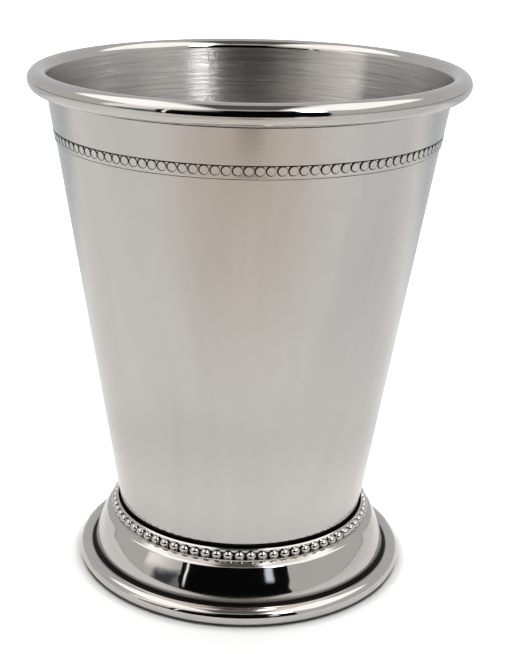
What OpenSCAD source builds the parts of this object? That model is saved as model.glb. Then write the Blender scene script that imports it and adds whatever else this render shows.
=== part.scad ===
/* [Cup] */
// Height of the whole cup, from the table to the top of the rim
cup_h = 107.5; // [85:0.5:130]
// Diameter over the outside of the curled rim
rim_d = 88.9; // [76:0.1:104]
// Diameter that the wall's outer face would have if it went down to the table
wall_base_d = 49.05; // [44:0.05:54]
// Thickness of the cup's sheet at the rim
cup_t = 0.8; // [0.7:0.05:1]
// Outside radius of the bend between the floor and the wall
floor_bend_r = 1.5; // [1.3:0.1:2.5]

/* [Rim] */
// Outside diameter of the curled rim's round section
curl_d = 4.2; // [3.8:0.1:5]
// Gap left between the curl's free edge and the wall
curl_seam = 0.15; // [0.1:0.05:0.4]

/* [Border of discs] */
// Number of discs around the cup
disc_n = 123; // [90:1:140]
// Gap between two discs
disc_gap = 0.09; // [0.06:0.01:0.2]
// Height of the discs over the channel that they stand in
disc_h = 0.14; // [0.08:0.01:0.2]
// Gap between a disc and each edge of the channel
channel_gap = 0.08; // [0.04:0.01:0.2]
// Distance from the top of the rim down to the ledge under the border
border_drop = 14.1; // [10:0.1:30]
// Width of the plain edge between the ledge and the channel
ledge_w = 0.4; // [0.3:0.02:1]
// How far the ledge stands out of the wall below it
ledge_out = 0.2; // [0.1:0.02:0.3]

/* [Beaded ring] */
// Number of pearls around the ring
pearl_n = 73; // [60:1:80]
// Diameter of one pearl
pearl_d = 1.84; // [1.5:0.02:2.1]
// Height of the pearls' centres over the seat
pearl_rise = 0.98; // [0.94:0.02:1.2]
// Gap between the ring and the wall of the cup
ring_gap = 0.5; // [0.4:0.05:0.9]
// Height of the ring over the seat
ring_h = 2.3; // [2:0.05:2.8]
// Width of the ring's flat top
lip_w = 0.15; // [0.1:0.05:0.4]
// Width of the slope from the flat top down to the pearls
lip_slope_w = 0.26; // [0.2:0.02:0.6]
// How far the ring's base reaches out past the pearls' centres
base_w = 0.65; // [0.4:0.05:0.8]
// Height of the base at its outer edge
base_edge_h = 0.2; // [0.1:0.02:0.3]

/* [Foot] */
// How far the rolled edge stands out past the beaded ring, all around
foot_reach = 7.38; // [6:0.01:10]
// Outside diameter of the rolled edge's round section
roll_d = 3.6; // [3.2:0.1:4]
// Width of the flat ring that the rolled edge stands on
stand_w = 1.2; // [0.6:0.1:1.4]
// Height of the seat that carries the cup
seat_z = 11.1; // [10:0.1:13]
// Thickness of the foot's sheet
foot_t = 0.7; // [0.6:0.05:0.8]
// How far the beaded ring reaches past the edge of the flat seat
seat_overhang = 0.1; // [0.05:0.05:0.3]

/* [Solder] */
// Thickness of the solder between the cup's floor and the foot's seat
solder_t = 0.2; // [0.15:0.05:0.4]
// Width of the solder ring
solder_w = 4; // [2:0.5:8]
// Gap from the solder to the bend around the cup's floor
solder_inset = 1.5; // [0.5:0.5:5]

/* [Hidden] */

steel = [0.72, 0.69, 0.66];
pale_steel = [0.8, 0.78, 0.75];
solder_grey = [0.6, 0.6, 0.6];

// Angle from one point of a drawn bend to the next
bend_step = 9;
// Smoothness of the revolved solids, and of the discs and pearls
turned_fn = 96;
bead_fn = 24;

// The wall's outer face runs into the curl's hollow side, which fixes its lean
curl_r = curl_d / 2;
curl_hollow_r = curl_r - cup_t;
curl_centre = [rim_d / 2 - curl_r, cup_h - curl_r];
wall_lean = lean_onto([wall_base_d / 2, 0], curl_centre, curl_hollow_r);
// The curl's free edge stops short of the wall by the seam
curl_sweep = 360 - acos((curl_hollow_r - curl_seam) / curl_r);

// Levels and depths of the cup
floor_z = seat_z + solder_t;
lower_t = cup_t - ledge_out;
ledge_z = cup_h - border_drop;
channel_z = ledge_z + ledge_w;
ledge_edge_r = 0.3 * ledge_out;
ledge_hollow_r = 1.5 * ledge_out;
disc_proud_share = 0.2;
// The photo shows the discs and the pearls turned by these shares of their spacing
disc_turn_share = 0.15;
pearl_turn_share = 0.125;
disc_d = 2 * wall_at(channel_z)[0] * sin(180 / disc_n) - disc_gap;
channel_w = disc_d + 2 * channel_gap;

// The ring stands around the cup. Its top slopes down to the pearls, which lie on its base.
lip_lean = 45;
lip_bend_share = 0.3;
base_rise_share = 0.2;
pearl_out_share = 0.065;
ring_in_r = wall_at(seat_z + ring_h, ledge_out)[0] + ring_gap;
lip_top = [ring_in_r + lip_w, seat_z + ring_h];
lip_low = lip_top + lip_slope_w * [1, -1 / tan(lip_lean)];
pearl_ring_r = lip_low[0] + pearl_out_share * pearl_d;
base_top = [lip_low[0], seat_z + base_edge_h + base_rise_share * base_w];
ring_out_r = pearl_ring_r + base_w;

// The foot's outer face goes from the seat over the shoulder and the bell to the roll. Its corners are
// set by shares of the way from the seat's edge to the top of the roll.
roll_r = roll_d / 2;
roll_centre = [ring_out_r + foot_reach - roll_r, sqrt(pow(roll_r, 2) - pow(stand_w / 2, 2))];
roll_sweep = 285;
seat_edge = [ring_out_r - seat_overhang, seat_z];
foot_span = [roll_centre[0] - seat_edge[0], roll_centre[1] + roll_r - seat_z];
shoulder_shares = [0.238, 0.0855];
bell_shares = [0.546, 0.539];
side_shares = [0.669, 0.8816];
shoulder = seat_edge + by_shares(foot_span, shoulder_shares);
bell = seat_edge + by_shares(foot_span, bell_shares);
side = seat_edge + by_shares(foot_span, side_shares);
side_lean = heading(bell - side) - 90;
valley_r = 0.25;
bell_bend_share = 0.8;
sheet_bend_r = foot_t + 0.2;

function unit(v) = v / norm(v);
function side_of(d) = [d[1], -d[0]];
function heading(d) = atan2(d[1], d[0]);
function turn(d1, d2) = atan2(d1[0] * d2[1] - d1[1] * d2[0], d1 * d2);
function ray(angle) = [cos(angle), sin(angle)];
function by_shares(v, shares) = [v[0] * shares[0], v[1] * shares[1]];
function reversed(points) = [for (i = [len(points) - 1:-1:0]) points[i]];

// Lean from upright of the line that starts at p and touches the inner side of a circle
function lean_onto(p, centre, r) = 90 - heading(centre - p) - asin(r / norm(centre - p));

// A point at a height, some depth behind the wall's outer face
function wall_at(z, depth = 0) = [wall_base_d / 2 + z * tan(wall_lean) - depth / cos(wall_lean), z];

// An arc is [centre, signed radius, first heading, last heading] of the outer face's outward side.
// The radius is positive where the centre is behind that face, and negative in front of it.
function bend(before, corner, after, r) =
    let (d1 = unit(corner - before))
    let (d2 = unit(after - corner))
    let (swing = turn(d1, d2))
    let (hand = sign(swing))
    let (start = corner - d1 * r * tan(abs(swing) / 2))
    [start - hand * r * side_of(d1), hand * r, heading(side_of(d1)), heading(side_of(d1)) + swing];

// The square end of a face that starts or stops at p and runs along d
function end_at(p, d) = [p, 0, heading(side_of(d)), heading(side_of(d))];

// The radius of a bend that takes up a share of the shorter side next to its corner
function share_r(before, corner, after, share) =
    let (side = min(norm(corner - before), norm(after - corner)))
    side * share / tan(abs(turn(corner - before, after - corner)) / 2);

// The arcs at the inner corners of a run; each corner is [point, radius]
function bends(corners) =
    [for (i = [1:len(corners) - 2]) bend(corners[i - 1][0], corners[i][0], corners[i + 1][0], corners[i][1])];

// The arc in a valley between a straight side through p and the outside of a round roll
function valley(p, lean, centre, r, small_r) =
    let (out = ray(lean))
    let (up = ray(lean + 90))
    let (gap = (centre - p) * out - small_r)
    let (middle = centre - gap * out + sqrt(pow(r + small_r, 2) - pow(gap, 2)) * up)
    [middle, -small_r, heading(middle - centre), lean];

// The points of one face of a run of arcs, some depth behind the outer face
function face(run, depth = 0) =
    [for (arc = run)
        let (swing = arc[3] - arc[2])
        let (steps = ceil(abs(swing) / bend_step))
        for (k = [0:steps])
            arc[0] + (arc[1] - depth) * ray(arc[2] + (steps == 0 ? 0 : swing * k / steps))];

module turned() {
    rotate_extrude($fn = turned_fn) children();
}

// The curled edge, as an arc that continues the wall's outer face
rim_curl = [curl_centre, -curl_hollow_r, -wall_lean, -wall_lean - curl_sweep];

module cup_section() {
    outside = concat(
        [end_at([0, floor_z], [1, 0])],
        bends([
            [[0, floor_z], 0],
            [wall_at(floor_z, ledge_out), floor_bend_r],
            [wall_at(ledge_z - ledge_out, ledge_out), ledge_hollow_r],
            [wall_at(ledge_z), ledge_edge_r],
            [wall_at(channel_z), 0],
        ]),
        [rim_curl]
    );
    floor_top = floor_z + lower_t;
    inside = concat(
        [end_at([0, floor_top], [1, 0])],
        bends([
            [[0, floor_top], 0],
            [wall_at(floor_top, cup_t), floor_bend_r - lower_t],
            [wall_at(ledge_z, cup_t), 0],
        ])
    );
    polygon(concat(face(outside), reversed(concat(face(inside), face([rim_curl], cup_t)))));
}

// The channel's floor slopes from nothing at the bottom to the discs' height at the top
module channel_section() {
    polygon([
        wall_at(channel_z),
        wall_at(channel_z, -disc_h),
        wall_at(channel_z + channel_w, -disc_h),
        wall_at(channel_z + channel_w, disc_h),
    ]);
}

// One disc of the border, lying along the wall and sunk into it by twice its own height
module disc() {
    middle = wall_at(channel_z + channel_w / 2, 2 * disc_h);
    translate([middle[0], 0, middle[1]])
        rotate([0, 90 + wall_lean, 0])
            cylinder(d = disc_d, h = (2 + disc_proud_share) * disc_h, $fn = bead_fn);
}

module cup_body() {
    color(steel) {
        turned() difference() {
            cup_section();
            channel_section();
        }
        for (i = [0:disc_n - 1]) rotate([0, 0, (i + disc_turn_share) * 360 / disc_n - 90]) disc();
    }
}

module foot_section() {
    dip = valley(bell, side_lean, roll_centre, roll_r, valley_r);
    run = concat(
        [[roll_centre, roll_r, dip[2] - roll_sweep, dip[2]]],
        [dip],
        bends([
            [side, 0],
            [bell, share_r(side, bell, shoulder, bell_bend_share)],
            [shoulder, sheet_bend_r],
            [seat_edge, sheet_bend_r],
            [[0, seat_z], 0],
        ]),
        [end_at([0, seat_z], [-1, 0])]
    );
    polygon(concat(face(run), reversed(face(run, foot_t))));
}

module foot() {
    color(steel)
        turned() difference() {
            foot_section();
            translate([0, -roll_d]) square([roll_centre[0] + roll_d, roll_d]);
        }
}

module ring_section() {
    polygon(concat(
        [[ring_in_r, seat_z], [ring_out_r, seat_z], [ring_out_r, seat_z + base_edge_h], base_top, lip_low],
        face(bends([
            [lip_low, 0],
            [lip_top, lip_bend_share * lip_w],
            [[ring_in_r, lip_top[1]], lip_bend_share * lip_w],
            [[ring_in_r, seat_z], 0],
        ]))
    ));
}

module beaded_ring() {
    color(pale_steel) {
        turned() ring_section();
        for (i = [0:pearl_n - 1])
            rotate([0, 0, (i + pearl_turn_share) * 360 / pearl_n - 90])
                translate([pearl_ring_r, 0, seat_z + pearl_rise])
                    sphere(d = pearl_d, $fn = bead_fn);
    }
}

module solder_ring() {
    // The cup's floor is flat inside this radius
    flat_r = wall_at(floor_z, ledge_out)[0] - floor_bend_r;
    outer_r = flat_r - solder_inset;
    color(solder_grey)
        translate([0, 0, seat_z])
            difference() {
                cylinder(r = outer_r, h = solder_t, $fn = turned_fn);
                translate([0, 0, -solder_t])
                    cylinder(r = outer_r - solder_w, h = 3 * solder_t, $fn = turned_fn);
            }
}

cup_body();
foot();
beaded_ring();
solder_ring();
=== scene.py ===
# %% [markdown]
# # A julep cup in polished steel
# A julep cup is spun from thin sheet metal. It has a tapered wall, a rim that is curled outwards, a
# border of small discs rolled into the wall, and a low foot with a ring of pearls around its seat.
# Every part of it is round, so almost all the modelling here is one idea: draw half of the section,
# then turn it about the cup's axis.
#
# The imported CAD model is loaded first. Its boxes give the main sizes, so that the pieces made here
# stay where the solids are.

# %% Load the frame
import math

import bmesh
import bpy
from mathutils import Matrix, Vector


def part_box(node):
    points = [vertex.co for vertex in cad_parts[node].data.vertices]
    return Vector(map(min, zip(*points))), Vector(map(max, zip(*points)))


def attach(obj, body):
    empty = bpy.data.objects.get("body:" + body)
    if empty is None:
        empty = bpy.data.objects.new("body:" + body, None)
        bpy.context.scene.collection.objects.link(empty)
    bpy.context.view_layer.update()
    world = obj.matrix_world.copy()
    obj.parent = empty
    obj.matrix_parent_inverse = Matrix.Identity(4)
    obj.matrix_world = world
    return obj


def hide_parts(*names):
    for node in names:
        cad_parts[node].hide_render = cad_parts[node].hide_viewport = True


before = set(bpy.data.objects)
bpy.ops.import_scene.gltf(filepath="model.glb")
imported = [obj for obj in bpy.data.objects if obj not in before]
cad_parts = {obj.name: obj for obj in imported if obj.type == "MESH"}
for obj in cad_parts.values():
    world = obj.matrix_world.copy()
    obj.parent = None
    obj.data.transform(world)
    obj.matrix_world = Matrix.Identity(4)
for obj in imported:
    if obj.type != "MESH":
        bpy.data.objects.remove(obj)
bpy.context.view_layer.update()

MM = 0.001
BODY = "root"
cup_low, cup_high = (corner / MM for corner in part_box("cup_body"))
foot_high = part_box("foot")[1] / MM
ring_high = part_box("beaded_ring")[1] / MM
print("cup", tuple(cup_high), "foot", tuple(foot_high), "ring", tuple(ring_high))

# %% [markdown]
# ## Drawing a section
# A lathe turns a flat drawing into a round thing, and Blender's spin operator does the same. The
# drawing is a chain of a few points in the plane through the axis. Its corners are rounded with a
# vertex bevel, and a round curl is drawn by spinning its first point about the curl's centre. All
# distances are in millimetres until the piece is finished.
#
# Polished metal shows every fault in the shading. Smooth shading alone bends the light over a long
# flat face that meets a small bend, so each piece gets the Weighted Normal modifier, which lets the
# large faces decide.

# %% Helpers for a section
TURN_STEPS = 192
MERGE_DISTANCE = 1e-4


def at(radius, height):
    """A point of the drawing, in the plane through the axis."""
    return Vector((radius, 0, height))


def ray(angle):
    """The direction at an angle in degrees above the horizontal."""
    return at(math.cos(math.radians(angle)), math.sin(math.radians(angle)))


def draw(bm, points, start=None):
    """Joins the points with edges, from an earlier point if one is given."""
    corners = [start] if start else []
    for point in points:
        corners.append(bm.verts.new(point))
        if len(corners) > 1:
            bm.edges.new(corners[-2:])
    return corners[1:] if start else corners


def curl(bm, start, centre, angle, steps):
    """Draws a round curl from a point; a positive angle goes clockwise over the top."""
    ends = bmesh.ops.spin(
        bm, geom=[start], cent=centre, axis=(0, 1, 0), dvec=(0, 0, 0),
        angle=math.radians(angle), steps=steps, use_duplicate=False,
    )["geom_last"]
    return next(item for item in ends if isinstance(item, bmesh.types.BMVert))


def round_corner(bm, corner, radius, segments=8):
    """Rounds one corner of the drawing to a radius."""
    first, second = (edge.other_vert(corner).co - corner.co for edge in corner.link_edges)
    turn = math.pi - first.angle(second)
    bmesh.ops.bevel(
        bm, geom=[corner], offset=radius * math.tan(turn / 2), offset_type="OFFSET",
        segments=segments, profile=0.5, affect="VERTICES", material=-1,
    )


def turn_on_lathe(bm, steps=TURN_STEPS):
    """Turns the drawing about the cup's axis and closes the seam and the pole."""
    bmesh.ops.spin(
        bm, geom=bm.verts[:] + bm.edges[:], cent=(0, 0, 0), axis=(0, 0, 1), dvec=(0, 0, 0),
        angle=math.tau, steps=steps, use_merge=True,
    )
    bmesh.ops.remove_doubles(bm, verts=bm.verts, dist=MERGE_DISTANCE)
    bmesh.ops.recalc_face_normals(bm, faces=bm.faces)


def repeat_around(bm, count):
    """Repeats what is drawn so far, evenly about the cup's axis."""
    bmesh.ops.spin(
        bm, geom=bm.verts[:] + bm.edges[:] + bm.faces[:], cent=(0, 0, 0), axis=(0, 0, 1),
        dvec=(0, 0, 0), angle=math.tau * (count - 1) / count, steps=count - 1, use_duplicate=True,
    )


def finish_piece(bm, name, materials, sharp_angle=30):
    """Turns millimetres into metres and makes a smooth-shaded object that rides on the cup."""
    bmesh.ops.scale(bm, vec=(MM, MM, MM), verts=bm.verts)
    mesh = bpy.data.meshes.new(name)
    for edge in bm.edges:
        edge.smooth = edge.calc_face_angle(0) < math.radians(sharp_angle)
    for face in bm.faces:
        face.smooth = True
    bm.to_mesh(mesh)
    bm.free()
    for material in materials:
        mesh.materials.append(material)
    piece = bpy.data.objects.new(name, mesh)
    bpy.context.scene.collection.objects.link(piece)
    piece.modifiers.new("flat_faces", "WEIGHTED_NORMAL").keep_sharp = True
    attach(piece, BODY)
    print(name, len(mesh.polygons), "faces")
    return piece


# %% [markdown]
# ## Shader maths
# A steel finish is a little arithmetic on noise: fine turning lines, faint clouds and a few smudges.
# Writing that as Python expressions is easier to read than a list of links, so a small class wraps
# a socket and gives it the usual operators.

# %% A small class for shader maths


class Signal:
    """A value in a material's node tree that Python's operators work on."""

    def __init__(self, tree, socket):
        self.tree = tree
        self.socket = socket

    def node(self, kind, settings=None, **sockets):
        """Adds a node, sets it up, then fills its sockets; i0 is the first socket."""
        new = self.tree.nodes.new(kind)
        for key, value in (settings or {}).items():
            setattr(new, key, value)
        for key, value in sockets.items():
            place = int(key[1:]) if key[0] == "i" and key[1:].isdigit() else key.replace("_", " ")
            if isinstance(value, Signal):
                self.tree.links.new(value.socket, new.inputs[place])
            else:
                new.inputs[place].default_value = value
        return new

    def maths(self, operation, first, second):
        new = self.node("ShaderNodeMath", {"operation": operation}, i0=first, i1=second)
        return Signal(self.tree, new.outputs[0])

    def __add__(self, other):
        return self.maths("ADD", self, other)

    def __radd__(self, other):
        return self.maths("ADD", other, self)

    def __sub__(self, other):
        return self.maths("SUBTRACT", self, other)

    def __rsub__(self, other):
        return self.maths("SUBTRACT", other, self)

    def __mul__(self, other):
        return self.maths("MULTIPLY", self, other)

    def __rmul__(self, other):
        return self.maths("MULTIPLY", other, self)


def new_finish(name):
    """A material with an empty Principled shader, and its object coordinates as a signal."""
    material = bpy.data.materials.new(name)
    material.use_nodes = True
    tree = material.node_tree
    shader = tree.nodes["Principled BSDF"]
    place = tree.nodes.new("ShaderNodeTexCoord")
    return material, shader, Signal(tree, place.outputs["Object"])


def noise(place, scale, detail=2.0, roughness=0.5, stretch=(1, 1, 1), distortion=0.0):
    """Noise between 0 and 1 on the object's own coordinates, stretched along the axes."""
    mapping = place.node("ShaderNodeMapping", Vector=place, Scale=stretch)
    moved = Signal(place.tree, mapping.outputs["Vector"])
    texture = place.node(
        "ShaderNodeTexNoise", Vector=moved, Scale=scale, Detail=detail, Roughness=roughness,
        Distortion=distortion,
    )
    return Signal(place.tree, texture.outputs["Fac"])


def bump(height, strength, distance):
    """A bump from a height signal, for a shader's Normal socket."""
    node = height.node("ShaderNodeBump", Height=height, Strength=strength, Distance=distance)
    return Signal(height.tree, node.outputs["Normal"])


def tint(amount, low, high):
    """A colour between two, chosen by a signal from 0 to 1."""
    node = amount.node("ShaderNodeMix", {"data_type": "RGBA"}, i0=amount)
    node.inputs[6].default_value = (*low, 1)
    node.inputs[7].default_value = (*high, 1)
    return Signal(amount.tree, node.outputs[2])


def ramp(signal, start, end):
    """Rises from 0 at the start to 1 at the end, and stays there."""
    share = (signal - start) * (1 / (end - start))
    return share.maths("MINIMUM", share.maths("MAXIMUM", share, 0.0), 1.0)


def between(amount, low, high):
    """A number between two, chosen by a signal from 0 to 1."""
    return low + (high - low) * amount


def feed(shader, name, signal):
    """Links a signal to one of the shader's sockets."""
    signal.tree.links.new(signal.socket, shader.inputs[name])


# %% [markdown]
# ## The finishes of the steel
# The photo shows one metal with several finishes. The outside of the wall is buffed to a soft satin, in
# which the white table shows as an even glow. The rim, the foot and the beaded ring are polished like a
# mirror, with faint smudges. The inside keeps the fine circular lines of the lathe, which smear every
# reflection across them: that is what an anisotropic shader does. Grooves, corners and undersides get
# painted shade, a near-black steel, and in the foot's valley the painted shade fades out upwards.
#
# A finish could also be one colour and one roughness, but steel is never that even, and a flat colour
# looks like plastic.

# %% The finishes
STEEL_COLOUR = (0.61, 0.585, 0.555)
STEEL_SHADE = (0.54, 0.51, 0.48)
SATIN_SHADE = (0.5, 0.475, 0.445)
SATIN_LIGHT = (0.655, 0.63, 0.6)
LINE_SHADE = (0.3, 0.28, 0.265)
LINE_LIGHT = (0.86, 0.83, 0.8)
# Near-black colour that paints shade into grooves, corners, seams and undersides
PAINTED_SHADE_COLOUR = (0.013, 0.011, 0.01)
CLOUD_SCALE = 38.0
GRAIN_SCALE = 900.0
SMUDGE_SCALE = 120.0
RING_SCALE = 60.0
SHADE_MOTTLE_SCALE = 300.0
ACROSS_LINES = 0.25
# Heights in millimetres where the painted shade in the foot's valley begins and where it is full
VALLEY_SHADE_TOP = 4.6
VALLEY_SHADE_FULL = 3.6

satin_steel, shader, place = new_finish("satin_steel")
clouds = noise(place, CLOUD_SCALE, detail=4.0, roughness=0.6, stretch=(1, 1, 0.22), distortion=1.2)
grain = noise(place, GRAIN_SCALE, detail=2.0, stretch=(1, 1, 6))
shader.inputs["Metallic"].default_value = 1.0
feed(shader, "Base Color", tint(clouds, SATIN_SHADE, SATIN_LIGHT))
feed(shader, "Roughness", between(grain, 0.13, 0.19))
feed(shader, "Normal", bump(grain, strength=0.05, distance=0.0001))

mirror_steel, shader, place = new_finish("mirror_steel")
smudges = noise(place, SMUDGE_SCALE, detail=3.0)
shader.inputs["Metallic"].default_value = 1.0
feed(shader, "Base Color", tint(smudges, STEEL_SHADE, STEEL_COLOUR))
feed(shader, "Roughness", between(smudges, 0.03, 0.08))

lathe_steel, shader, place = new_finish("lathe_steel")
rings = noise(place, RING_SCALE, detail=6.0, roughness=0.7, stretch=(1, 1, 36))
shader.inputs["Metallic"].default_value = 1.0
shader.inputs["Anisotropic"].default_value = 1.0
shader.inputs["Anisotropic Rotation"].default_value = ACROSS_LINES
feed(shader, "Base Color", tint(rings, LINE_SHADE, LINE_LIGHT))
feed(shader, "Roughness", between(rings, 0.18, 0.32))
feed(shader, "Normal", bump(rings, strength=0.15, distance=0.0002))

# A near-black steel for painted shade in grooves, corners, seams and undersides; its roughness varies at
# random
painted_shade_steel, shader, place = new_finish("painted_shade_steel")
shade_mottle = noise(place, SHADE_MOTTLE_SCALE, detail=2.0)
shader.inputs["Metallic"].default_value = 1.0
shader.inputs["Base Color"].default_value = (*PAINTED_SHADE_COLOUR, 1)
feed(shader, "Roughness", between(shade_mottle, 0.35, 0.55))

# Painted shade in the foot's valley: below a given height the steel darkens downwards to the near-black
# shade colour and gets rougher
shaded_valley_steel, shader, place = new_finish("shaded_valley_steel")
height = Signal(place.tree, place.node("ShaderNodeSeparateXYZ", Vector=place).outputs["Z"])
valley_shade_amount = ramp(height, VALLEY_SHADE_TOP * MM, VALLEY_SHADE_FULL * MM)
shader.inputs["Metallic"].default_value = 1.0
feed(shader, "Base Color", tint(valley_shade_amount, STEEL_COLOUR, PAINTED_SHADE_COLOUR))
feed(shader, "Roughness", between(valley_shade_amount, 0.05, 0.45))
print("finishes", [material.name for material in bpy.data.materials if material.name.endswith("_steel")])

# %% [markdown]
# ## The cup's shell
# The wall's outer face runs straight up into the hollow side of the curl. Its lean follows from that:
# it is the line from the foot of the wall that just touches the inside of the curl. The section is
# drawn as one closed loop, the outside going up and the inside coming down, because the ledge and the
# channel for the discs are only on the outside. The channel's floor slopes from nothing at the ledge
# to its full depth at the top, where the photo shows the only hard line. Afterwards each face gets
# its finish by where it lies: painted shade in the channel's top corner, under the ledge, in the seam
# under the curl and on the wall's base above the ring, polished on the curl, with lathe lines on the
# inside, and satin elsewhere.

# %% Section of the shell
SHEET = 0.8
CURL_RADIUS = 2.1
CURL_SEAM = 0.15
WALL_BASE_RADIUS = 24.525
LEDGE_OUT = 0.2
BORDER_DROP = 14.1
LEDGE_WIDTH = 0.4
DISC_COUNT = 123
DISC_GAP = 0.07
DISC_HEIGHT = 0.14
CHANNEL_GAP = 0.07
CHANNEL_CORNER = 0.22
FLOOR_BEND = 1.5
LEDGE_SOFT_BEND = 0.3
LEDGE_CRISP_BEND = 0.06
LEDGE_DARK_LOW = 0.26
LEDGE_DARK_HIGH = 0.12
CURL_STEPS = 48
SEAM_DROP = 2.667
SEAM_REACH = 0.375
GROOVE_SHADE = 0.9
MIRROR_FACE, LATHE_FACE, DARK_FACE = 1, 2, 3

curl_centre = at(cup_high.x - CURL_RADIUS, cup_high.z - CURL_RADIUS)
hollow_radius = CURL_RADIUS - SHEET
to_curl = curl_centre - at(WALL_BASE_RADIUS, 0)
rise_to_curl = math.atan2(to_curl.z, to_curl.x) + math.asin(hollow_radius / to_curl.length)
wall_lean = 90 - math.degrees(rise_to_curl)
curl_sweep = 360 - math.degrees(math.acos((hollow_radius - CURL_SEAM) / CURL_RADIUS))


def wall_at(height, depth=0):
    """A point of the wall, some depth behind its outer face."""
    lean = math.radians(wall_lean)
    return at(WALL_BASE_RADIUS + height * math.tan(lean) - depth / math.cos(lean), height)


floor_under = cup_low.z
floor_top = floor_under + SHEET - LEDGE_OUT
ledge_height = cup_high.z - BORDER_DROP
channel_low = ledge_height + LEDGE_WIDTH
disc_radius = wall_at(channel_low).x * math.sin(math.pi / DISC_COUNT) - DISC_GAP / 2
channel_high = channel_low + 2 * (disc_radius + CHANNEL_GAP)

# Painted shade covers the wall's base up to groove_top and the seam under the curl from seam_low up
groove_top = ring_high.z + GROOVE_SHADE
seam_low = curl_centre.z - SEAM_DROP

bm = bmesh.new()
outside = draw(bm, [
    at(0, floor_under),
    wall_at(floor_under, LEDGE_OUT),
    wall_at(groove_top, LEDGE_OUT),
    wall_at(ledge_height - LEDGE_OUT, LEDGE_OUT),
    wall_at(ledge_height),
    wall_at(channel_low),
    wall_at(channel_high - CHANNEL_CORNER, DISC_HEIGHT),
    wall_at(channel_high, DISC_HEIGHT),
    wall_at(channel_high),
    wall_at(seam_low),
    curl_centre + hollow_radius * ray(180 - wall_lean),
])
curl_edge = curl(bm, outside[-1], curl_centre, curl_sweep, CURL_STEPS)
inside = draw(bm, [
    at(0, floor_top),
    wall_at(floor_top, SHEET),
    curl_centre + CURL_RADIUS * ray(180 - wall_lean),
])
bm.edges.new([curl_edge, curl(bm, inside[-1], curl_centre, curl_sweep, CURL_STEPS)])
round_corner(bm, outside[1], FLOOR_BEND)
round_corner(bm, outside[3], LEDGE_SOFT_BEND)
round_corner(bm, outside[4], LEDGE_CRISP_BEND, segments=4)
round_corner(bm, inside[1], FLOOR_BEND - SHEET + LEDGE_OUT)
turn_on_lathe(bm)

for face in bm.faces:
    middle = face.calc_center_median()
    radius = math.hypot(middle.x, middle.y)
    outer_side = radius > wall_at(middle.z, SHEET / 2).x
    in_corner = channel_high - CHANNEL_CORNER < middle.z < channel_high
    in_ledge = ledge_height - LEDGE_DARK_LOW < middle.z < ledge_height - LEDGE_DARK_HIGH
    in_seam = seam_low < middle.z < curl_centre.z and radius < wall_at(middle.z).x + SEAM_REACH
    # Painted shade, the near-black steel, goes on the channel's top corner, under the ledge, in the seam
    # and on the base
    if outer_side and (in_corner or in_ledge or in_seam or middle.z < groove_top):
        face.material_index = DARK_FACE
    elif radius > wall_at(middle.z).x + SHEET / 4 or middle.z > curl_centre.z:
        face.material_index = MIRROR_FACE
    elif not outer_side and middle.z > floor_top - MERGE_DISTANCE:
        face.material_index = LATHE_FACE
cup_shell = finish_piece(bm, "cup_shell", [satin_steel, mirror_steel, lathe_steel, painted_shade_steel])
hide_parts("cup_body")
print("wall leans", round(wall_lean, 2), "degrees")

# %% [markdown]
# ## The border of discs
# On the real cup a roller presses the border into the wall, so each disc is a low button with a
# groove around it. The groove is painted shade: a flat dark disc on the wall, with a smaller bevelled
# button set off its centre, so that the painted shade is wider on one side. Both are laid on the wall
# and repeated with the spin operator. Each one has only a few dozen faces because there are so many.

# %% One disc, repeated
DISC_TURN_SHARE = 0.15
DISC_SIDES = 20
BUTTON_SHARE = 0.85
BUTTON_ASIDE = 0.1
BUTTON_EDGE = 0.04
BUTTON_RISE = 0.02
DARK_DISC = 1

channel_middle = (channel_low + channel_high) / 2
lay_on_wall = (
    Matrix.Rotation(math.tau * DISC_TURN_SHARE / DISC_COUNT - math.pi / 2, 4, "Z")
    @ Matrix.Translation(wall_at(channel_middle))
    @ Matrix.Rotation(math.radians(90 + wall_lean), 4, "Y")
)

bm = bmesh.new()
# A flat dark disc of painted shade where the groove is; the button sits off its centre
bmesh.ops.create_circle(bm, cap_ends=True, segments=DISC_SIDES, radius=disc_radius)
for face in bm.faces:
    face.material_index = DARK_DISC
groove = bm.verts[:]
bmesh.ops.create_cone(
    bm, cap_ends=True, segments=DISC_SIDES, radius1=BUTTON_SHARE * disc_radius,
    radius2=BUTTON_SHARE * disc_radius, depth=2 * BUTTON_RISE,
)
button = [vert for vert in bm.verts if vert not in groove]
bmesh.ops.translate(bm, verts=button, vec=(0, BUTTON_ASIDE, 0))
top_rim = [edge for edge in bm.edges if all(vert.co.z > BUTTON_RISE / 2 for vert in edge.verts)]
bmesh.ops.bevel(
    bm, geom=top_rim, offset=BUTTON_EDGE, offset_type="OFFSET", segments=2, profile=0.5,
    affect="EDGES", material=-1,
)
bmesh.ops.transform(bm, matrix=lay_on_wall, verts=bm.verts)
repeat_around(bm, DISC_COUNT)
disc_border = finish_piece(bm, "disc_border", [satin_steel, painted_shade_steel], sharp_angle=20)
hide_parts("cup_body")

# %% [markdown]
# ## The foot
# The foot is one spun sheet: a flat seat, a sloped shoulder, a bell-shaped side, a tight valley, and
# an edge rolled around into a bead. Its outer face is drawn as an open chain, and the solidify
# operator gives the sheet its thickness afterwards. Last, the bead is pressed flat where it stands on
# the table. The steps of the foot are given as shares of the way from the seat's edge to the top of
# the bead, outwards and down, as they were measured in the photo.

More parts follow.
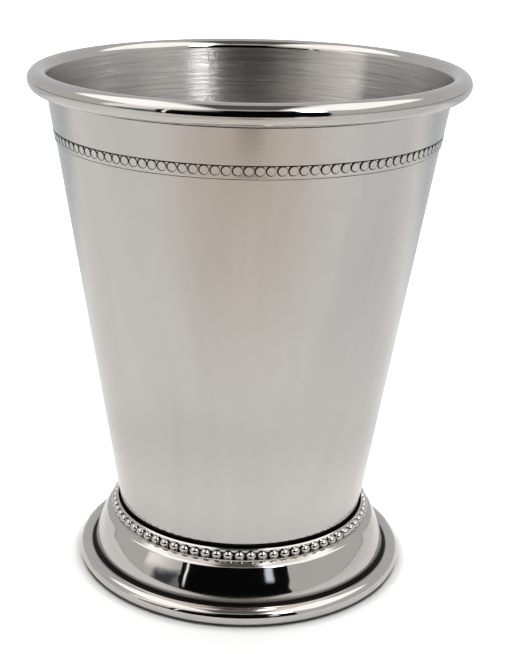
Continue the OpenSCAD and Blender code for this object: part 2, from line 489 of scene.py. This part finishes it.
# %% Section of the foot
FOOT_SHEET = 0.7
ROLL_RADIUS = 1.8
ROLL_SWEEP = 285
STAND_WIDTH = 1.2
VALLEY_RADIUS = 0.25
SEAT_OVERHANG = 0.1
SHEET_BEND = 0.9
BELL_BEND = 20
RING_GAP = 0.5
LIP_WIDTH = 0.15
LIP_SLOPE = 0.26
PEARL_OUT = 0.12
BASE_WIDTH = 0.65
SHOULDER_SHARE = (0.238, 0.0855)
BELL_SHARE = (0.546, 0.539)
BELL_END_SHARE = (0.669, 0.8816)
VALLEY_STEPS = 8
ROLL_STEPS = 56
VALLEY_INSET = 1.17
DARK_UNDERSIDE = 0.5
PAINTED_SHADE_FACE, VALLEY_FACE = 1, 2

seat_height = foot_high.z
ring_inside = wall_at(ring_high.z, LEDGE_OUT).x + RING_GAP
pearl_ring = ring_inside + LIP_WIDTH + LIP_SLOPE + PEARL_OUT
ring_outside = pearl_ring + BASE_WIDTH
roll_centre = at(foot_high.x - ROLL_RADIUS, math.sqrt(ROLL_RADIUS ** 2 - (STAND_WIDTH / 2) ** 2))
seat_edge = at(ring_outside - SEAT_OVERHANG, seat_height)
foot_span = roll_centre + at(0, ROLL_RADIUS) - seat_edge
shoulder, bell, bell_end = (
    seat_edge + at(out * foot_span.x, down * foot_span.z)
    for out, down in (SHOULDER_SHARE, BELL_SHARE, BELL_END_SHARE)
)
side_lean = math.degrees(math.atan2(bell_end.x - bell.x, bell.z - bell_end.z))

# The valley's bend touches both the bell's side and the bead
side_out = ray(side_lean)
gap = (roll_centre - bell).dot(side_out) - VALLEY_RADIUS
along = math.sqrt((ROLL_RADIUS + VALLEY_RADIUS) ** 2 - gap ** 2)
valley_centre = roll_centre - gap * side_out + along * ray(side_lean + 90)
valley_turn = math.degrees(side_out.angle(valley_centre - roll_centre))
side_end = valley_centre - VALLEY_RADIUS * side_out

bm = bmesh.new()
side = draw(bm, [
    at(0, seat_height),
    seat_edge,
    shoulder,
    bell,
    bell.lerp(side_end, (bell.z - VALLEY_SHADE_TOP) / (bell.z - side_end.z)),
    side_end,
])
valley_end = curl(bm, side[-1], valley_centre, -valley_turn, VALLEY_STEPS)
curl(bm, valley_end, roll_centre, ROLL_SWEEP, ROLL_STEPS)
round_corner(bm, side[1], SHEET_BEND)
round_corner(bm, side[2], SHEET_BEND)
round_corner(bm, side[3], BELL_BEND)
turn_on_lathe(bm)
if max(bm.faces, key=lambda face: face.calc_center_median().z).normal.z < 0:
    bmesh.ops.reverse_faces(bm, faces=bm.faces)
bmesh.ops.solidify(bm, geom=bm.faces[:], thickness=FOOT_SHEET)
for vert in bm.verts:
    vert.co.z = max(vert.co.z, 0)
for face in bm.faces:
    middle = face.calc_center_median()
    radius = math.hypot(middle.x, middle.y)
    # Faces low in the valley get the painted shade that fades out upwards
    in_valley = middle.z < VALLEY_SHADE_TOP and radius < roll_centre.x - VALLEY_INSET
    in_groove = middle.z > seat_height - FOOT_SHEET / 2 and radius < ring_inside + LIP_WIDTH
    # Painted shade on the seat inside the ring's lip and on the bead's underside next to the table
    if in_groove or middle.z < DARK_UNDERSIDE:
        face.material_index = PAINTED_SHADE_FACE
    elif in_valley:
        face.material_index = VALLEY_FACE
foot_shell = finish_piece(bm, "foot_shell", [mirror_steel, painted_shade_steel, shaded_valley_steel], sharp_angle=40)
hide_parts("foot")

# %% [markdown]
# ## The beaded ring
# A strip with a row of pearls lies on the foot's seat and hides the joint with the cup. Its top slopes
# down to the pearls, which lie on a thin base. They are plain balls sunk into the strip, repeated like
# the discs, and the upright face behind them and the strip's inner face carry painted shade.

# %% The strip and its pearls
PEARL_COUNT = 73
PEARL_WIDER = 1.18
PEARL_TURN_SHARE = 0.125
PEARL_RADIUS = 0.92
PEARL_RISE = 0.98
PEARL_SIDES = 20
PEARL_ROWS = 12
LIP_BEND = 0.045
BASE_EDGE = 0.2
BASE_RISE = 0.13
DARK_DROP = 0.4

lip_top = at(ring_inside + LIP_WIDTH, ring_high.z)
lip_low = lip_top + at(LIP_SLOPE, -LIP_SLOPE)
base_top = at(lip_low.x, seat_height + BASE_EDGE + BASE_RISE)
dark_top = lip_low - at(0, DARK_DROP)

bm = bmesh.new()
strip = draw(bm, [
    at(ring_inside, seat_height),
    at(ring_outside, seat_height),
    at(ring_outside, seat_height + BASE_EDGE),
    base_top,
    dark_top,
    lip_low,
    lip_top,
    at(ring_inside, ring_high.z),
])
bm.edges.new([strip[-1], strip[0]])
round_corner(bm, strip[6], LIP_BEND, segments=4)
round_corner(bm, strip[7], LIP_BEND, segments=4)
turn_on_lathe(bm)
for face in bm.faces:
    middle = face.calc_center_median()
    radius = math.hypot(middle.x, middle.y)
    # Painted shade on the strip's inner face and on the upright face behind the pearls
    if radius < ring_inside + LIP_BEND / 4 or base_top.z < middle.z < dark_top.z:
        face.material_index = PAINTED_SHADE_FACE
bead_strip = finish_piece(bm, "bead_strip", [mirror_steel, painted_shade_steel])
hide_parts("beaded_ring")

bm = bmesh.new()
bmesh.ops.create_uvsphere(bm, u_segments=PEARL_SIDES, v_segments=PEARL_ROWS, radius=PEARL_RADIUS)
bmesh.ops.scale(bm, verts=bm.verts, vec=(1, PEARL_WIDER, 1))
bmesh.ops.translate(bm, verts=bm.verts, vec=at(pearl_ring, seat_height + PEARL_RISE))
first_turn = Matrix.Rotation(math.tau * PEARL_TURN_SHARE / PEARL_COUNT - math.pi / 2, 4, "Z")
bmesh.ops.transform(bm, matrix=first_turn, verts=bm.verts)
repeat_around(bm, PEARL_COUNT)
pearls = finish_piece(bm, "pearls", [mirror_steel], sharp_angle=90)
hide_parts("beaded_ring")

# %% [markdown]
# ## The solder
# The cup is fixed to its foot by a thin ring of solder that nobody sees. The CAD solid has the right
# shape, so it stays and only gets a finish.

# %% Solder
SOLDER_SHADE = (0.3, 0.3, 0.3)
SOLDER_LIGHT = (0.45, 0.45, 0.44)
LUMP_SCALE = 400.0

solder, shader, place = new_finish("dull_solder")
lumps = noise(place, LUMP_SCALE, detail=3.0)
shader.inputs["Metallic"].default_value = 1.0
feed(shader, "Base Color", tint(lumps, SOLDER_SHADE, SOLDER_LIGHT))
feed(shader, "Roughness", between(lumps, 0.4, 0.6))
solder_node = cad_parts["solder_ring"]
solder_node.data.materials.clear()
solder_node.data.materials.append(solder)
print(solder_node.name, "keeps its solid")

# %% [markdown]
# ## The stage
# Polished metal has no look of its own: it shows what stands around it. The photo was taken on a white
# surface, close up, and the front of the cup mirrors the dark room behind the camera. So the stage is a
# white floor, a lamp overhead, a pale world, and cards that only reflections can see.
#
# The lamp stays at a plain level, at which the white floor alone would look light grey. The camera
# sees it lifted to white, except for a narrow ring around the foot, where the shadow stays. Metal sees
# it a little brighter just around the foot: a painted glow, seen only in reflections.

# %% Floor, world and lamp
FLOOR_COLOUR = (0.9, 0.9, 0.9)
FLOOR_SIZE = 12
FLOOR_LIFT = 0.46
FLOOR_NEAR_GLOW = 0.3
FAR_WHITE = 0.6
WORLD_LIGHT = 0.1
WORLD_MIRRORED = 0.65
LAMP_HEIGHT = 1.6
LAMP_BACK = 0.1
LAMP_SIZE = 1.2
LAMP_WATTS = 28
FOOT_EDGE, LIFT_FULL = 0.0352, 0.0375
FAR_START, FAR_FULL = 0.2, 0.6
GLOW_END, GLOW_FULL = 0.075, 0.05
WHITE = (1, 1, 1, 1)


def stage_object(name, mesh, material):
    """Puts a mesh on the stage, where it isn't part of the cup."""
    mesh.materials.append(material)
    thing = bpy.data.objects.new(name, mesh)
    bpy.context.scene.collection.objects.link(thing)
    return thing


def rectangle(name, low, high):
    """A flat rectangle between two opposite corners in metres, with a UV map from 0 to 1."""
    bm = bmesh.new()
    corners = [low, (high[0], low[1], low[2]), high, (low[0], high[1], high[2])]
    face = bm.faces.new([bm.verts.new(corner) for corner in corners])
    layer = bm.loops.layers.uv.new("UVMap")
    for loop, place in zip(face.loops, ((0, 0), (1, 0), (1, 1), (0, 1))):
        loop[layer].uv = place
    mesh = bpy.data.meshes.new(name)
    bm.to_mesh(mesh)
    bm.free()
    return mesh


def ray_kinds(tree):
    """Two masks: rays that come straight from the camera or through glass, and reflected rays."""
    kinds = tree.nodes.new("ShaderNodeLightPath").outputs
    straight, reflected, through_glass = (
        Signal(tree, kinds[kind]) for kind in ("Is Camera Ray", "Is Glossy Ray", "Is Transmission Ray")
    )
    return straight + through_glass, reflected


floor_white = bpy.data.materials.new("floor_white")
floor_white.use_nodes = True
tree = floor_white.node_tree
tree.nodes.clear()
to_camera, to_metal = ray_kinds(tree)
place = Signal(tree, tree.nodes.new("ShaderNodeTexCoord").outputs["Object"])
length = place.node("ShaderNodeVectorMath", {"operation": "LENGTH"}, i0=place)
away = Signal(tree, length.outputs["Value"])
lift = FLOOR_LIFT * ramp(away, FOOT_EDGE, LIFT_FULL) + FAR_WHITE * ramp(away, FAR_START, FAR_FULL)
# A painted glow on the floor near the foot, seen only by reflections
near_glow = FLOOR_NEAR_GLOW * ramp(away, GLOW_END, GLOW_FULL)
paint = place.node("ShaderNodeBsdfDiffuse", Color=(*FLOOR_COLOUR, 1))
glow = place.node("ShaderNodeEmission", Strength=to_camera * lift + to_metal * near_glow)
both = tree.nodes.new("ShaderNodeAddShader")
out = tree.nodes.new("ShaderNodeOutputMaterial")
tree.links.new(paint.outputs[0], both.inputs[0])
tree.links.new(glow.outputs[0], both.inputs[1])
tree.links.new(both.outputs[0], out.inputs["Surface"])
half = FLOOR_SIZE / 2
floor = stage_object("floor", rectangle("floor", (-half, -half, 0), (half, half, 0)), floor_white)

world = bpy.data.worlds.new("studio")
world.use_nodes = True
bpy.context.scene.world = world
tree = world.node_tree
to_camera, to_metal = ray_kinds(tree)
sky_light = WORLD_LIGHT + (1 - WORLD_LIGHT) * to_camera + (WORLD_MIRRORED - WORLD_LIGHT) * to_metal
tree.links.new(sky_light.socket, tree.nodes["Background"].inputs["Strength"])
tree.nodes["Background"].inputs["Color"].default_value = WHITE

lamp_light = bpy.data.lights.new("overhead", "AREA")
lamp_light.size = LAMP_SIZE
lamp_light.energy = LAMP_WATTS
lamp = bpy.data.objects.new("overhead", lamp_light)
lamp.location = (0, LAMP_BACK, LAMP_HEIGHT)
lamp.visible_glossy = False
bpy.context.scene.collection.objects.link(lamp)
print("lamp of", LAMP_WATTS, "watts, floor of", FLOOR_SIZE, "metres")

# %% [markdown]
# The cards are flat and fade out at their edges, so that their reflections have no hard frame. They are
# seen only by reflections: they neither hide the cup from another side nor darken the floor. Most are
# placed by direction as seen from the cup, where azimuth 0 is the viewer's side and grows to the right.

# %% Cards for the reflections
WAVE_SCALE = 3.0
CEILING = 1.4
BACK = -0.6
ON_FLOOR = 0.001
ABOVE_SHADE = 0.0015


def toward(azimuth, elevation, distance):
    """The point of an upright plane in front of the cup (behind it, if negative) in a direction."""
    across, rise = (math.tan(math.radians(angle)) for angle in (azimuth, elevation))
    return (abs(distance) * across, -distance, abs(distance) * rise)


def card(name, low, high, strength, colour=(1, 1, 1), fade=0.06, waviness=0.0):
    """A glowing card with soft edges; the fade is the share of the width that the edges take."""
    material = bpy.data.materials.new(name)
    material.use_nodes = True
    tree = material.node_tree
    tree.nodes.clear()
    place = Signal(tree, tree.nodes.new("ShaderNodeTexCoord").outputs["UV"])
    wave = noise(place, WAVE_SCALE, detail=1.0) - 0.5
    parts = place.node("ShaderNodeSeparateXYZ", Vector=place).outputs
    cover = 1
    for name_of_axis in ("X", "Y"):
        share = Signal(tree, parts[name_of_axis]) + waviness * wave
        edge = share * (1 - share) * (1 / (fade * (1 - fade)))
        cover = cover * edge.maths("MINIMUM", edge.maths("MAXIMUM", edge, 0.0), 1.0)
    glow = place.node("ShaderNodeEmission", Color=(*colour, 1), Strength=strength)
    mix = place.node("ShaderNodeMixShader", Fac=cover)
    out = tree.nodes.new("ShaderNodeOutputMaterial")
    tree.links.new(tree.nodes.new("ShaderNodeBsdfTransparent").outputs[0], mix.inputs[1])
    tree.links.new(glow.outputs[0], mix.inputs[2])
    tree.links.new(mix.outputs[0], out.inputs["Surface"])
    thing = stage_object(name, rectangle(name, low, high), material)
    thing.visible_camera = False
    thing.visible_diffuse = False
    thing.visible_shadow = False
    return thing


card("dark_room", toward(-45, -9, 0.5), toward(40, 52, 0.5), 0.004, (0.8, 0.85, 1), 0.02, 0.45)
card("dim_room", toward(-69, -24, 0.52), toward(-35, 26, 0.52), 0.08, (0.75, 0.85, 1), 0.28, 0.3)
card("left_light", toward(-78, 16, 0.53), toward(-40, 62, 0.53), 1.3, (1, 0.98, 0.95), 0.35, 0.1)
card("left_glow", toward(-60, 34, 0.48), toward(-12, 62, 0.48), 1.4, (1, 0.97, 0.94), 0.5)
card("window", toward(27.5, 42, 0.45), toward(41, 62, 0.45), 15, (0.95, 0.97, 1), 0.1)
card("window_low", (0.056, -0.16, 0.04), (0.08, -0.16, 0.088), 1.1, (0.8, 0.88, 1), 0.25)
card("door_gap", toward(-41, 3, 0.45), toward(-39, 48, 0.45), 1.5, fade=0.2)
card("overhead_dim", (-0.34, -0.9, CEILING), (0.34, 0.4, CEILING), 0.13, (1, 0.94, 0.88), fade=0.08)
card("ceiling_left", (-1.9, -1.2, CEILING), (-0.33, 0.9, CEILING), 1.7, fade=0.1)
card("ceiling_right", (0.31, -1.2, CEILING), (1.9, 0.9, CEILING), 1.7, fade=0.1)
card("back", toward(-50, 0, BACK), toward(50, 62, BACK), 0.66, (0.95, 0.97, 1), 0.1)
# The next three cards lie on the floor as painted shadow on the table, which only reflections see
card("front_shade", (-0.2, -0.5, ON_FLOOR), (0.2, -0.08, ON_FLOOR), 0.7, (1, 0.87, 0.76), fade=0.5)
card("floor_shadow_spot", (-0.03, -0.31, ABOVE_SHADE), (0.045, -0.2, ABOVE_SHADE), 0.3, (1, 0.85, 0.78), fade=0.5)
card("right_shade", (0.05, -0.16, ON_FLOOR), (0.4, 0.1, ON_FLOOR), 0.82, (0.97, 0.98, 1), fade=0.3)
card("dark_floor", (-0.42, -6, ON_FLOOR), (0.34, -0.4, ON_FLOOR), 0.02, fade=0.02)
card("back_floor", (-1.5, 0.12, ON_FLOOR), (1.5, 2.5, ON_FLOOR), 0.68, (0.92, 0.96, 1), fade=0.04)

# %% [markdown]
# ## The camera
# The photo was taken by hand, a little to one side and looking down at the cup. The camera's place,
# aim, roll and shift were fitted to the outline of the cup and its rings.

# %% Camera
PHOTO_WIDTH = 510
PHOTO_HEIGHT = 654
SENSOR = 36
FOCAL_PIXELS = 1382.11
CENTRE_COLUMN = 205.232
CENTRE_ROW = 327.0
CAMERA_BACK = 279.332
CAMERA_HEIGHT = 148.853
LOOK_DOWN = math.radians(19.134)
LOOK_ASIDE = math.radians(-1.669)
ROLL = math.radians(0.746)

forward = Vector((
    math.sin(LOOK_ASIDE) * math.cos(LOOK_DOWN),
    math.cos(LOOK_ASIDE) * math.cos(LOOK_DOWN),
    -math.sin(LOOK_DOWN),
))
level = Vector((math.cos(LOOK_ASIDE), -math.sin(LOOK_ASIDE), 0))
upward = level.cross(forward)
camera_x = math.cos(ROLL) * level + math.sin(ROLL) * upward
camera_y = math.cos(ROLL) * upward - math.sin(ROLL) * level

lens = bpy.data.cameras.new("photo_lens")
lens.sensor_width = SENSOR
lens.lens = FOCAL_PIXELS * SENSOR / PHOTO_HEIGHT
lens.shift_x = (PHOTO_WIDTH / 2 - CENTRE_COLUMN) / PHOTO_HEIGHT
lens.shift_y = (CENTRE_ROW - PHOTO_HEIGHT / 2) / PHOTO_HEIGHT
lens.clip_start = 0.01
camera = bpy.data.objects.new("photo_camera", lens)
turned = Matrix((camera_x, camera_y, -forward)).transposed()
camera.matrix_world = Matrix.Translation(Vector((0, -CAMERA_BACK, CAMERA_HEIGHT)) * MM) @ turned.to_4x4()
bpy.context.scene.collection.objects.link(camera)
bpy.context.scene.camera = camera
bpy.context.scene.view_settings.view_transform = "Standard"
print("lens", round(lens.lens, 2), "mm")

# %% [markdown]
# ## Last lines
# Last, the view layer is brought up to date.

# %% Update the view layer
bpy.context.view_layer.update()
